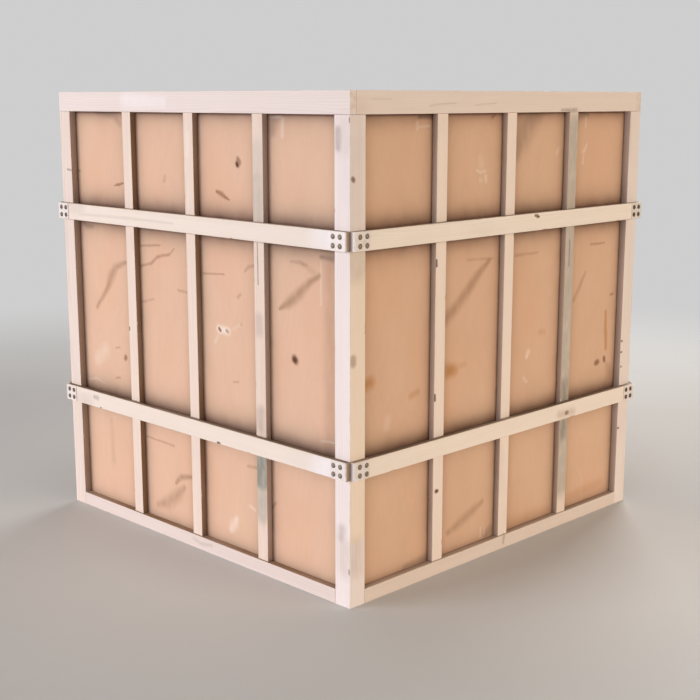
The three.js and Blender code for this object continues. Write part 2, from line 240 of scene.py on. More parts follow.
# The marks on the two walls that the photo shows, by (wall, stock) and kind. A mark is its strength, and
# then the (x, z, half width) points, in millimetres, that its stroke runs through.
MARKS = {
    ("front", "plywood"): {
        "smear_and_shade": [
            (0.65, (-575, 750, 10), (-510, 820, 15), (-480, 870, 27), (-450, 905, 18), (-390, 925, 9)),
            (0.2, (-515, 340, 14), (-510, 190, 18)), (0.45, (-100, 860, 6), (-35, 855, 8)),
            (0.4, (-160, 1215, 10), (-155, 1230, 8)),
            (0.55, (-245, 90, 16), (-190, 110, 32), (-130, 150, 30), (-95, 185, 14)),
            (0.7, (-140, 190, 9), (-110, 218, 14), (-50, 232, 9)),
            (0.45, (240, 955, 6), (260, 970, 9), (285, 975, 7)), (0.45, (205, 870, 8), (218, 880, 6)),
            (0.4, (219, 784, 5), (223, 788, 5)), (0.45, (240, 330, 7), (285, 335, 9)),
            (0.25, (500, 1002, 9), (545, 985, 15), (575, 970, 12)),
            (0.75, (400, 856, 7), (438, 878, 21), (485, 910, 23), (530, 950, 15), (575, 974, 11)),
            # Painted shade: the next stroke, at 615, darkens the plywood beside the near post.
            (0.34, (615, 1000, 32), (615, 430, 32)), (0.6, (352, 215, 9), (372, 238, 7)),
        ],
        "slash": [
            (0.8, (-440, 1185, 4), (-415, 1190, 7), (-390, 1195, 4)),
            (0.4, (-470, 615, 5), (-445, 620, 5)), (0.95, (-413, 584, 11), (-410, 590, 12)),
            (0.4, (-475, 505, 5), (-450, 510, 6)), (0.45, (-300, 990, 5), (-250, 995, 6), (-190, 1000, 4)),
            (0.5, (-305, 920, 6), (-245, 935, 7), (-210, 960, 8), (-140, 975, 6), (-115, 995, 4)),
            (0.3, (-300, 800, 6), (-235, 815, 5)), (0.4, (-300, 325, 5), (-145, 320, 5)),
            (0.8, (112, 1193, 7), (138, 1186, 12), (172, 1170, 3)), (0.45, (35, 930, 5), (140, 935, 4)),
            (0.35, (175, 595, 5), (200, 598, 5)), (0.3, (450, 1004, 5), (490, 1006, 8), (520, 1000, 6)),
        ],
        "grime_and_shadow": [
            (0.4, (-640, 1045, 9), (-615, 1035, 14), (-585, 1035, 9)),
            (0.3, (-530, 1430, 12), (-430, 1425, 18), (-400, 1395, 16)),
            (0.35, (375, 1385, 24), (385, 1415, 26)), (0.5, (580, 1030, 8), (645, 1026, 15)),
        ],
        "pale": [
            (0.3, (-585, 560, 30), (-535, 600, 34)), (0.4, (-650, 475, 5), (-595, 485, 7), (-550, 475, 5)),
            (0.95, (110, 757, 17), (152, 756, 17)), (0.35, (102, 735, 8), (88, 712, 9)),
            (0.2, (180, 766, 8), (210, 780, 7)), (0.6, (152, 98, 16), (165, 116, 24), (180, 140, 14)),
            (0.45, (250, 200, 8), (272, 192, 9)), (0.75, (360, 1425, 7), (412, 1425, 6)),
            (0.45, (420, 1370, 9), (423, 1420, 10)), (0.3, (580, 1015, 5), (580, 890, 5)),
            (0.4, (580, 480, 5), (635, 485, 5)),
        ],
        "knot": [
            (0.9, (212, 1285, 10), (215, 1279, 11)), (0.6, (217, 1297, 10), (222, 1288, 12)),
            (0.85, (110, 759, 6), (117, 754, 6)), (0.6, (146, 757, 7), (153, 754, 7)),
            (1.0, (464, 712, 15), (470, 708, 14)),
        ],
        "hole": [
            (0.5, (-664, 1228, 4), (-648, 1226, 4)), (0.7, (211, 1282, 6), (214, 1278, 6)),
            (0.65, (464, 712, 7), (469, 709, 7)),
        ],
    },
    ("front", "frame_timber"): {
        "bleached": [(0.6, (-325, 1472, 36), (-120, 1466, 22))],
        "smear_and_shade": [(0.2, (702, 1350, 40), (702, 1410, 40)), (0.25, (702, 120, 40), (702, 190, 40))],
        "grime_and_shadow": [
            (0.4, (678, 1345, 15), (678, 1392, 16)), (0.3, (686, 215, 20), (692, 240, 22)),
            (0.35, (330, 480, 28), (330, 530, 26)), (0.25, (330, 780, 26), (330, 820, 26)),
            (0.6, (722, 120, 6), (722, 110, 6)), (0.2, (-20, 30, 8), (25, 22, 10), (80, 30, 8)),
        ],
        "grey": [
            (0.2, (330, 1110, 50), (330, 1320, 50)), (0.35, (330, 1110, 50), (330, 1230, 50)),
            (1.0, (330, 370, 55), (330, 310, 50)), (0.5, (330, 310, 50), (330, 205, 45)),
        ],
        "pale": [(0.6, (-5, 1300, 12), (0, 1370, 12))],
        "hole": [
            (0.5, (327, 925, 3), (325, 1050, 3)), (0.9, (-354, 705, 5), (-354, 698, 5)),
            (0.5, (-690, 1232, 4), (-664, 1230, 4)), (0.7, (724, 1425, 4), (724, 1415, 4)),
        ],
    },
    ("front", "batten_timber"): {
        "bleached": [(1.0, (645, 1105, 75), (720, 1105, 75)), (1.0, (645, 410, 75), (720, 410, 75))],
        "grime_and_shadow": [
            (0.14, (-720, 1105, 40), (-590, 1105, 36)), (0.14, (-720, 410, 40), (-590, 410, 36)),
            (0.15, (-600, 1080, 5), (-330, 1085, 7), (-60, 1085, 5)),
            (0.45, (-550, 430, 11), (-530, 430, 12)),
        ],
        "hole": [(0.7, (-515, 397, 4), (-510, 397, 4)), (0.9, (145, 398, 5), (155, 398, 5))],
    },
    ("right", "plywood"): {
        "smear_and_shade": [
            (0.65, (-300, 800, 28), (-215, 855, 27), (-140, 925, 22), (-75, 975, 11)),
            (0.5, (-255, 112, 14), (-190, 135, 26), (-130, 158, 24), (-85, 178, 12)),
            (0.45, (395, 795, 13), (430, 840, 13), (460, 885, 7)), (0.4, (615, 535, 14), (640, 500, 40)),
        ],
        "slash": [
            (0.6, (-75, 1420, 7), (-65, 1425, 6)), (0.25, (-180, 985, 6), (-60, 980, 6)),
            (0.3, (60, 978, 8), (180, 978, 5)), (0.45, (490, 980, 7), (570, 978, 5)),
            (0.6, (622, 788, 6), (634, 790, 6)),
        ],
        "grime_and_shadow": [
            (0.12, (-630, 1410, 34), (-450, 1415, 30)), (0.6, (-415, 1425, 9), (-355, 1425, 12)),
            (0.4, (-460, 50, 16), (-360, 55, 20)), (0.35, (-60, 62, 22), (-40, 70, 22)),
            (0.4, (40, 1300, 40), (75, 1355, 60), (130, 1420, 60)),
            (0.8, (310, 1425, 11), (340, 1420, 11)), (0.35, (390, 1420, 16), (440, 1425, 14)),
        ],
        "rust": [
            (0.75, (-632, 660, 27), (-616, 664, 26)), (0.4, (-440, 592, 14), (-408, 602, 15)),
            (0.8, (-268, 645, 31), (-240, 643, 26)), (0.25, (-235, 650, 14), (-185, 655, 13)),
            (0.3, (205, 705, 15), (230, 705, 13)), (0.2, (60, 70, 30), (280, 60, 30)),
            (0.7, (595, 730, 9), (600, 660, 13), (605, 595, 11)), (0.25, (420, 80, 26), (600, 90, 24)),
        ],
        "pale": [
            (0.4, (-422, 1390, 7), (-422, 1410, 7)), (0.4, (-415, 1396, 6), (-368, 1398, 6)),
            (0.25, (-545, 515, 20), (-540, 540, 18)),
            (0.42, (-145, 1260, 7), (-126, 1253, 8), (-106, 1256, 9)),
            (0.42, (-102, 1239, 10), (-100, 1224, 8)), (0.34, (-128, 1230, 11), (-121, 1228, 10)),
            (0.2, (-132, 1298, 16), (-124, 1276, 20)), (0.45, (-92, 55, 5), (-90, 90, 4)),
            (0.45, (-70, 62, 5), (-70, 82, 4)), (0.35, (270, 1300, 11), (278, 1315, 10)),
            (0.6, (136, 632, 11), (146, 648, 13)), (0.35, (122, 560, 10), (140, 545, 8)),
            (0.45, (430, 1385, 8), (430, 1415, 8)), (0.45, (418, 1298, 9), (428, 1304, 9), (443, 1328, 4)),
            (0.35, (424, 1290, 5), (420, 1264, 8)),
        ],
        "knot": [(0.75, (547, 548, 12), (558, 551, 12)), (0.75, (597, 560, 10), (600, 551, 10))],
    },
    ("right", "frame_timber"): {
        "tan": [(0.6, (-702, 250, 44), (-702, 1050, 44))],
        "smear_and_shade": [(0.25, (-702, 120, 40), (-702, 190, 40)), (0.14, (-702, 1170, 60), (-702, 1440, 60))],
        "slash": [
            (0.2, (-400, 1456, 3), (-340, 1462, 4), (-280, 1464, 3)),
            (0.2, (-190, 1458, 3), (-90, 1464, 4)), (0.15, (-640, 1476, 3), (-560, 1476, 3)),
        ],
        "grime_and_shadow": [
            # Painted shadow: the next two strokes darken stud 3 below and above the lower batten. The others
            # are grime.
            (0.65, (330, 330, 32), (330, 370, 32)), (0.65, (330, 460, 32), (330, 510, 30)),
            (0.45, (255, 1440, 8), (335, 1440, 9)), (0.45, (0, 18, 7), (5, 45, 8)),
        ],
        "grey": [(0.55, (330, 150, 60), (330, 1380, 60)), (0.3, (-702, 1020, 60), (-702, 1060, 60))],
        "pale": [(0.7, (668, 1035, 5), (668, 455, 5))],
        "knot": [
            (0.8, (-714, 1259, 9), (-711, 1256, 9)), (0.45, (-713, 738, 15), (-712, 752, 15)),
            (1.0, (-340, 275, 8), (-335, 275, 7)),
        ],
        "hole": [
            (0.9, (-352, 1000, 5), (-352, 985, 5)), (0.9, (-352, 585, 5), (-352, 568, 5)),
            (0.4, (330, 920, 3), (330, 1010, 3)),
        ],
    },
    ("right", "batten_timber"): {
        "smear_and_shade": [(0.35, (270, 415, 20), (350, 412, 22))],
        "knot": [
            (1.0, (102, 1107, 5), (112, 1105, 8), (122, 1102, 4)), (0.9, (312, 414, 9), (318, 414, 9)),
        ],
    },
}
NAIL_HEIGHTS = (290, 520, 575, 615)  # of the dark nail heads down the right wall's far post
MARKS["right", "frame_timber"]["hole"] += [(0.8, (662, z, 4), (672, z, 4)) for z in NAIL_HEIGHTS]


def bay_at(x):
    """Which bay of a wall a place is in, counted from 0 at the left."""
    return min(max(math.floor(x / BAY_STEP + BAYS / 2), 0), BAYS - 1)


def strewn_marks(wall, bay):
    """Four short strokes, strewn over a bay of a wall that has no marks of its own."""
    draw = random.Random(f"{wall} {bay}")
    marks = {}
    for _ in range(4):
        x, z = draw.uniform(-620, -390) + bay * BAY_STEP / MM, draw.uniform(90, 1400)
        heading, reach = draw.gauss(0.35, 0.5), draw.uniform(12, 75)
        width = draw.uniform(6, 16)
        step_x, step_z = reach * math.cos(heading), reach * math.sin(heading)
        bend = draw.uniform(-0.15, 0.15) * reach
        start = (x, z, width * 0.6)
        middle = (x + step_x / 2 - bend, z + step_z / 2 + bend, width)
        end = (x + step_x, z + step_z, width * 0.5)
        kind = draw.choice(STREWN_KINDS[wall])
        marks.setdefault(kind, []).append((draw.uniform(0.25, 0.6), start, middle, end))
    return marks


def bay_marks(wall, bay):
    if (wall, "plywood") not in MARKS:
        return strewn_marks(wall, bay)
    return {
        kind: [mark for mark in marks if bay_at(mark[1][0] * MM) == bay]
        for kind, marks in MARKS[wall, "plywood"].items()
    }


def near_post_marks(wall):
    """The marks on the face that the near post turns to that wall."""
    side = 1 if wall == "front" else -1
    return {
        kind: [mark for mark in marks if side * mark[1][0] * MM > POST_INNER]
        for kind, marks in MARKS[wall, "frame_timber"].items()
    }


def stroke_share(graph, place, points):
    """How far a place is from a mark's stroke, as a share of the stroke's half width there."""
    nearest = None
    for (x, z, half_width), (next_x, next_z, next_half_width) in zip(points, points[1:]):
        stretch = Vector((next_x - x, 0.0, next_z - z)) * MM
        offset = graph.vector("SUBTRACT", place, (x * MM, 0.0, z * MM))
        passed = graph.math("ADD", graph.along(offset, stretch / stretch.length_squared), 0.0, clamp=True)
        distance = graph.vector("DISTANCE", offset, graph.vector("SCALE", stretch, passed))
        growth = (next_half_width - half_width) * MM
        share = graph.math("DIVIDE", distance, graph.math("MULTIPLY_ADD", passed, growth, half_width * MM))
        nearest = share if nearest is None else graph.math("MINIMUM", nearest, share)
    return nearest


def lay_marks(graph, colour, turn, marks, waver):
    """Lays marks over a wall's outer faces. Their outlines waver by up to half the distance given."""
    x, z = wall_place(graph, turn)
    place = graph.add("ShaderNodeCombineXYZ", {"X": x, "Z": z}).outputs["Vector"]
    shake = graph.vector("SUBTRACT", graph.noise(place, (24, 24, 24), colour=True), (0.5, 0.5, 0.5))
    place = graph.vector("ADD", place, graph.stretch(shake, (waver, 0.0, waver)))
    patches = graph.ramp(graph.noise(place, (40, 40, 16), detail=3), 0.25, 0.6, 0.7, 1.0)
    gate = graph.times(facing_out(graph, turn), patches)
    for kind, (tint, fade) in KINDS.items():
        cover = None
        for strength, *points in marks.get(kind, ()):
            share = stroke_share(graph, place, points)
            laid = graph.ramp(share, STROKE_EDGE, STROKE_EDGE - fade, 0.0, strength)
            cover = laid if cover is None else graph.math("MAXIMUM", cover, laid)
        if cover is not None:
            colour = graph.mix(graph.times(cover, gate), colour, tint)
    return colour


# ---------------------------------------------------------------- materials
# What the meshes carry for their materials:
#   timber and plywood: "grain", metres along it and then across it, and "tone", how light it is, -1 to 1
#   timber and steel: "edge", 1 on a rounded rim, and more in a dent
#   timber: "warmth", how yellow it is, 0 to 1, "recess", 0 at its outer face to 1 at the plywood, and
#   its share of the recess's painted shade, in an attribute of its own
#   plywood: "cut_edge", 1 round the sheet's rim
#   plates and bolts: "recess", how much painted shade darkens them, 0 to 1

TIMBER_COLOURS = {"frame_timber": srgb(239, 223, 217), "batten_timber": srgb(242, 225, 212)}
PLYWOOD_COLOUR = srgb(226, 184, 156)
WARMTH = (1.0, 0.94, 0.85, 1.0)
RING_SPACING = 5.2 * MM
PLIES = 5
WOOD_SHINE = 0.3
WOOD_RELIEF, STEEL_RELIEF, FLOOR_RELIEF = 0.35 * MM, 0.12 * MM, 0.1 * MM

KNOT_CORE = srgb(122, 78, 50)
GLUE_LINE = srgb(150, 104, 74)
# What is left of a surface's own colour under painted shade: on plywood, where it is faint and where it is
# deep, and on steel between two battens' ends. The front wall's faint shade is greyer than the others'.
FRONT_FAINT_SHADE = (0.0, 0.04, 0.06, 1.0)
FAINT_SHADE = (0.06, 0.018, 0.0, 1.0)
DEEP_SHADE = (0.08, 0.015, 0.0, 1.0)
NOTCH_SHADE = (0.41, 0.33, 0.26, 1.0)
# The same painted shade for timber in the walls' recesses, after how much of it lies right behind the
# timber's outer face.
RECESS_SHADES = {
    ("frame_timber", "front"): (0.9, (0.42, 0.305, 0.19, 1.0)),
    ("frame_timber", "plain"): (0.35, (0.47, 0.41, 0.33, 1.0)),
    ("batten_timber", "plain"): (0.9, (0.25, 0.205, 0.155, 1.0)),
}


def timber_material(stock, wall, marks=()):
    """Planed softwood. marks holds a (turn, marks) pair for each wall that it shows on."""
    material, graph, shader = new_material(f"{stock}_{wall}")
    base = TIMBER_COLOURS[stock]
    grain = graph.attribute("grain", "Vector")
    edge = graph.attribute("edge")
    tone = graph.attribute("tone")

    cells = graph.add("ShaderNodeTexVoronoi", {"Vector": graph.stretch(grain, (3.1, 13, 13)), "Scale": 1.0})
    has_knot = graph.math("GREATER_THAN", graph.along(cells.outputs["Color"], (1.0, 0.0, 0.0)), 0.86)
    knot_reach = graph.times(graph.ramp(cells.outputs["Distance"], 0.32, 0.0), has_knot)
    knot_core = graph.times(graph.ramp(cells.outputs["Distance"], 0.10, 0.05), has_knot)

    waver = graph.noise(grain, (1.6, 14, 14), detail=1)
    across = graph.vector("LENGTH", graph.stretch(grain, (0.0, 1.0, 1.0)))
    from_heart = graph.total((1.0, across), (22 * MM, waver), (9 * MM, knot_reach))
    ring = graph.math("SINE", graph.times(from_heart, 2 * math.pi / RING_SPACING))
    latewood = graph.ramp(ring, 0.1, 1.0)
    streak = graph.noise(grain, (1.3, 55, 55))
    fibre = graph.noise(grain, (14, 620, 620), roughness=0.6)
    weather = graph.noise(grain, (3, 9, 9), detail=3)
    saw = graph.noise(grain, (190, 12, 12), detail=1)

    lightness = graph.total(
        (1.0, 0.32), (0.3, tone), (0.3, streak), (0.25, fibre), (-0.14, latewood), (0.25, weather)
    )
    colour = graph.mix(lightness, shade(base, 0.80, 0.74, 0.67), shade(base, 1.07, 1.09, 1.12))
    greyed = graph.ramp(weather, 0.52, 0.75, 0.0, 0.35)
    colour = graph.mix(greyed, colour, shade(base, 0.86, 0.86, 0.88))
    colour = graph.mix(graph.times(knot_reach, 0.35), colour, shade(base, 0.72, 0.58, 0.44))
    colour = graph.mix(knot_core, colour, KNOT_CORE)
    colour = graph.mix(graph.attribute("warmth"), colour, graph.tinted(colour, WARMTH))
    for turn, wall_marks in marks:
        colour = lay_marks(graph, colour, turn, wall_marks, waver=4 * MM)

    # Painted shade: timber darkens with its depth behind its outer face, towards the plywood.
    least_dirt, recess_dirt = RECESS_SHADES.get((stock, wall), RECESS_SHADES[stock, "plain"])
    share = graph.attribute("recess")
    behind = graph.times(graph.ramp(share, 0.0, 0.06), graph.ramp(weather, 0.25, 0.75, 0.8, 1.15))
    behind = graph.times(behind, graph.attribute("dirt"))
    recess = graph.times(behind, graph.total((1.0, least_dirt), (1.0 - least_dirt, share)))
    colour = graph.mix(recess, colour, graph.tinted(colour, recess_dirt))
    rubbed = graph.ramp(graph.noise(grain, (18, 60, 60), detail=3), 0.35, 0.65)
    worn = graph.times(graph.ramp(edge, 0.2, 1.0), rubbed)
    colour = graph.mix(graph.times(worn, 0.55), colour, shade(base, 0.80, 0.70, 0.60))
    colour = graph.mix(graph.ramp(edge, 1.2, 2.0, 0.0, 0.8), colour, shade(base, 1.0, 0.9, 0.75))

    roughness = graph.total((1.0, 0.55), (0.18, fibre), (0.14, weather), (-0.08, worn))
    height = graph.total((0.35, fibre), (0.3, latewood), (0.25, saw), (0.5, streak), (-0.8, knot_core))
    finish_material(graph, shader, colour, roughness, height, WOOD_RELIEF)
    shader.inputs["Specular IOR Level"].default_value = WOOD_SHINE
    return material


def bay_edges():
    """(low, high) places along a wall of each bay's plywood, between its posts and studs."""
    studs = [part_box(f"front_stud_{number}") for number in STUDS]
    lows = [-POST_INNER] + [high.x for _, high in studs]
    highs = [low.x for low, _ in studs] + [POST_INNER]
    return list(zip(lows, highs))


def add_falloff(graph, depth, distance, thickness, reach):
    """Adds a layer that thins out with distance, to a third of its thickness at its reach."""
    fade = graph.math("EXPONENT", graph.times(distance, -1.0 / reach))
    return graph.math("MULTIPLY_ADD", fade, thickness, depth)


def gathered_dirt(graph, turn, bay):
    """How deep painted shade lies on a bay of plywood, from 0 to 1: deepest where boards stand over the
    sheet.
    """
    x, z = wall_place(graph, turn)
    left_edge, right_edge = bay_edges()[bay]
    bottom_rail_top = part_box("front_bottom_rail")[1].z
    top_rail_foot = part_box("front_top_rail")[0].z
    depth = 0.0
    for place, edge, side, thickness, reach in (
        (x, left_edge, 1, 0.85, 17 * MM),
        (x, right_edge, -1, 0.9, 17 * MM),
        (z, bottom_rail_top, 1, 0.5, 16 * MM),
        (z, top_rail_foot, -1, 1.2, 18 * MM),
        (z, top_rail_foot, -1, 1.6, 4 * MM),
    ):
        distance = graph.math("MULTIPLY_ADD", place, side, -side * edge)
        depth = add_falloff(graph, depth, distance, thickness, reach)
    for level, above, below in (("upper", 1.4, 1.65), ("lower", 1.2, 0.45)):
        low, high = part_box(f"front_{level}_batten")
        for edge, thickness, reach in ((high.z, above, 20 * MM), (low.z, below, 21 * MM)):
            distance = graph.math("ABSOLUTE", graph.math("SUBTRACT", z, edge))
            depth = add_falloff(graph, depth, distance, thickness, reach)
    uneven = graph.noise(graph.place(), (14, 14, 14), detail=3)
    depth = graph.times(depth, graph.total((1.0, 0.62), (0.7, uneven)))
    cover = graph.math("SUBTRACT", 1.0, graph.math("EXPONENT", graph.times(depth, -1.0)))
    return graph.times(cover, facing_out(graph, turn))


def plywood_material(name, turn=0, bay=None, marks=None):
    """Rotary-cut plywood, with its plies showing on its cut edges. In a bay of a wall it has painted shade in
    its corners, and marks."""
    material, graph, shader = new_material(name)
    base = PLYWOOD_COLOUR
    grain = graph.attribute("grain", "Vector")

    cloud = graph.noise(grain, (3.2, 5.5, 0), detail=3)
    patch = graph.noise(grain, (9, 15, 0), detail=3, roughness=0.6)
    hue = graph.noise(grain, (2.1, 3.4, 7))
    fibre = graph.noise(grain, (16, 420, 60), detail=3, roughness=0.6)
    spread = graph.math("FRACT", graph.times(graph.noise(grain, (1.5, 6, 1)), 17.0))
    figure = graph.times(graph.ramp(spread, 0.0, 0.75), graph.ramp(spread, 1.0, 0.8))
    pores = graph.ramp(graph.noise(grain, (70, 760, 90), detail=1), 0.66, 0.78)

    tone = graph.attribute("tone")
    lightness = graph.total(
        (1.0, 0.15), (0.2, tone), (0.4, cloud), (0.3, patch), (0.15, fibre), (-0.05, figure), (-0.2, pores)
    )
    colour = graph.mix(lightness, shade(base, 0.84, 0.79, 0.74), shade(base, 1.10, 1.13, 1.16))
    colour = graph.mix(graph.ramp(hue, 0.45, 0.7, 0.0, 0.45), colour, shade(base, 1.03, 0.93, 0.86))
    colour = graph.mix(graph.ramp(hue, 0.5, 0.28, 0.0, 0.4), colour, shade(base, 0.97, 1.02, 0.98))
    depth = graph.along(grain, (0.0, 0.0, 1.0))
    layers = graph.math("SINE", graph.times(depth, math.pi * PLIES / PLY_THICKNESS))
    glue = graph.times(graph.ramp(layers, 0.0, 0.5), graph.attribute("cut_edge"))
    colour = graph.mix(glue, colour, GLUE_LINE)
    if bay is not None:
        colour = lay_marks(graph, colour, turn, marks, waver=7 * MM)
        # Painted shade: the sheet darkens beside the posts, studs, rails and battens that stand over it.
        cover = gathered_dirt(graph, turn, bay)
        dirt = graph.mix(cover, FRONT_FAINT_SHADE if turn == 0 else FAINT_SHADE, DEEP_SHADE)
        colour = graph.mix(cover, colour, graph.tinted(colour, dirt))

    roughness = graph.total((1.0, 0.52), (0.2, fibre), (0.16, patch), (0.1, pores))
    height = graph.total((0.3, fibre), (0.3, patch), (-0.4, pores), (0.6, cloud), (0.08, figure))
    finish_material(graph, shader, colour, roughness, height, WOOD_RELIEF)
    shader.inputs["Specular IOR Level"].default_value = WOOD_SHINE
    return material


def steel_material(name, base, tarnish, metallic, spangle):
    """Zinc-plated steel: crystal spangle, brushed scratches, dulled patches, rubbed rims, and painted shade.
    """
    material, graph, shader = new_material(name)
    point = graph.place()
    crystals = graph.add("ShaderNodeTexVoronoi", {"Vector": point, "Scale": spangle})
    facet = graph.along(crystals.outputs["Color"], (1.0, 0.0, 0.0))
    dull = graph.noise(point, (38, 38, 38), detail=4, roughness=0.6)
    scratch = graph.ramp(graph.noise(point, (60, 60, 1400)), 0.56, 0.72)
    lightness = graph.total((1.0, 0.2), (0.25, facet), (0.55, dull), (0.2, scratch))
    colour = graph.mix(lightness, shade(base, 0.72, 0.70, 0.67), shade(base, 1.12, 1.12, 1.12))
    colour = graph.mix(graph.ramp(dull, 0.5, 0.72, 0.0, 0.6), colour, tarnish)
    rubbed = graph.ramp(graph.attribute("edge"), 0.3, 1.0, 0.0, 0.7)
    colour = graph.mix(rubbed, colour, shade(base, 1.12, 1.11, 1.09))
    # Painted shade: darkens the steel by its recess value, in the notch and on the bolt heads.
    colour = graph.mix(graph.attribute("recess"), colour, graph.tinted(colour, NOTCH_SHADE))
    roughness = graph.total((1.0, 0.3), (0.25, dull), (0.1, facet), (-0.08, scratch))
    height = graph.total((0.5, dull), (0.2, facet), (-0.3, scratch))
    finish_material(graph, shader, colour, roughness, height, STEEL_RELIEF)
    shader.inputs["Metallic"].default_value = metallic
    return material


def wood_materials():
    """Materials by (stock, wall), with "plain" where a wall has none of its own. A wall's plywood has one
    for each bay, so that none holds more strokes than a shader can."""
    materials = {("plywood", "plain"): [plywood_material("plywood_plain")]}
    for turn, wall in enumerate(WALLS):
        materials["plywood", wall] = [
            plywood_material(f"plywood_{wall}_{bay + 1}", turn, bay, bay_marks(wall, bay))
            for bay in range(BAYS)
        ]
    for stock in TIMBER_COLOURS:
        materials[stock, "plain"] = timber_material(stock, "plain")
        for turn, wall in enumerate(MARKED_WALLS):
            materials[stock, wall] = timber_material(stock, wall, [(turn, MARKS[wall, stock])])
    post_marks = [(turn, near_post_marks(wall)) for turn, wall in enumerate(MARKED_WALLS)]
    materials["frame_timber", "near_post"] = timber_material("frame_timber", "near_post", post_marks)
    return materials


WOOD = wood_materials()
ZINC = steel_material("zinc_steel", srgb(240, 228, 224), srgb(206, 190, 176), 0.08, spangle=260)
BOLT_STEEL = steel_material("bolt_steel", srgb(139, 122, 108), srgb(98, 80, 64), 0.2, spangle=700)
SCREW_STEEL = steel_material("screw_steel", srgb(176, 160, 120), srgb(120, 104, 74), 0.8, spangle=700)


# ---------------------------------------------------------------- what sets the boards apart

# How light the boards of the two walls that the photo shows are, and the corner posts. Partly painted shade:
# the bottom rails and lower battens are darker than the boards above them, for light that fades towards the
# floor.
BOARD_TONES_AND_SHADE = {
    "front_top_rail": -0.3, "front_bottom_rail": -1.0,
    "front_upper_batten": -0.25, "front_lower_batten": -0.35,
    "front_stud_1": -0.2, "front_stud_2": -0.2, "front_stud_3": -0.5,
    "right_top_rail": -0.1, "right_bottom_rail": -0.8,
    "right_upper_batten": 0.7, "right_lower_batten": 0.4,
    "right_stud_1": 0.95, "right_stud_2": 1.0, "right_stud_3": 0.1,
    "front_wall_plywood": 0.31, "right_wall_plywood": -0.18,
    "post_front_right": 0.5, "post_front_left": -0.6, "post_back_right": 0.1, "post_back_left": 0.2,
}
# How much of its recess's painted shade a board has, where that isn't all of it.
BOARD_SHADE = {"front_stud_1": 1.08, "front_stud_3": 0.45, "post_front_left": 0.74}
STUD_WARMTH = {"front": 1.0, "right": 0.9, "back": 0.6, "left": 0.6}
RAIL_WARMTH = {"front": 0.0, "right": 0.4, "back": 0.2, "left": 0.2}
POST_WARMTH = {"front_right": 0.0, "back_right": 0.12, "back_left": 0.1, "front_left": 0.5}
# How much painted shade darkens each corner's bolt heads, for the shadow that they sit in away from the near
# corner.
BOLT_SHADE = {"front_right": 0.0, "back_right": 1.0, "back_left": 0.4, "front_left": 0.75}
POST_LOOKS = {"front_right": "near_post", "back_right": "right", "back_left": "plain", "front_left": "front"}


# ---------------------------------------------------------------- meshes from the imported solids

ARRIS = {"frame_timber": 1.3 * MM, "batten_timber": 1.8 * MM, "plywood": 0.5 * MM}
LEAST_EASED_EDGE = 15 * MM  # shorter edges, such as those round a screw's hole, stay crisp
SHARP = math.radians(30)  # an edge that turns more than this is rounded
CRISP = math.radians(40)  # an edge that still turns more than this isn't shaded smooth
WELD, TOUCH = 0.02 * MM, 0.01 * MM
HEART_OFFSET = 70 * MM  # how far a board's middle lies from its log's heart, at most
DENTS_PER_METRE = 2.2
END_MARGIN = 14 * MM  # dents keep this far from a board's ends
STATION_STEP = 45 * MM  # between the cuts along a board
PLY_CELL = 41 * MM  # between the cuts over a sheet
HELD_RIM = 60 * MM  # a sheet bows fully this far in from its rim


def packed_solid(node):
    """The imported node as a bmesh, its triangles joined into whole flat faces."""
    solid = bmesh.new()
    solid.from_mesh(frame["nodes"][node].data)
    bmesh.ops.remove_doubles(solid, verts=solid.verts, dist=WELD)
    bmesh.ops.dissolve_limit(solid, angle_limit=math.radians(1), verts=solid.verts, edges=solid.edges)
    return solid


def outer_edges(solid):
    """The sharp edges that stand out, apart from the short ones."""
    return [
        edge for edge in solid.edges
        if edge.is_convex and edge.calc_face_angle(0) > SHARP and edge.calc_length() > LEAST_EASED_EDGE
    ]


def long_arrises(solid, axis):
    """(line, low, high) of each outer edge along the grain: its place across the board, and its ends."""
    found = []
    for edge in outer_edges(solid):
        ends = np.array([vert.co for vert in edge.verts])
        low, high = sorted(ends[:, axis])
        if high - low > 0.98 * edge.calc_length():
            found.append((np.delete(ends[0], axis), low, high))
    return found


def cut_across(solid, axis, stations):
    """Cuts the solid's faces at each station along an axis, in order, each time only what lies beyond."""
    normal = Vector((0.0, 0.0, 0.0))
    normal[axis] = 1.0
    beyond = solid.edges[:] + solid.faces[:]
    for station in sorted(stations):
        place = normal * station
        cut = bmesh.ops.bisect_plane(solid, geom=beyond, dist=TOUCH, plane_co=place, plane_no=normal)
        beyond = [
            item for item in cut["geom"]
            if not isinstance(item, bmesh.types.BMVert)
            and max(vert.co[axis] for vert in item.verts) > station + WELD
        ]


def plan_dents(draw, low, high):
    """(middle, half length, growth) of each place where an arris is knocked rounder than the rest."""
    count = max(1, round((high - low) * DENTS_PER_METRE))
    dents = []
    for _ in range(count):
        half_length = draw.uniform(3, 16) * MM
        middle = draw.uniform(low + END_MARGIN + half_length, high - END_MARGIN - half_length)
        dents.append((middle, half_length, draw.choice((0.5, 0.8, 1.1, 1.6, 2.2))))
    return dents


def thinned(values, gap):
    """The values in order, without those that lie within a gap of the one before."""
    kept = []
    for value in sorted(values):
        if not kept or value - kept[-1] > gap:
            kept.append(value)
    return kept


def round_edges(solid, radius, steps):
    bmesh.ops.bevel(
        solid, geom=outer_edges(solid), offset=radius, offset_type="OFFSET", segments=steps, profile=0.5,
        affect="EDGES", clamp_overlap=True,
    )


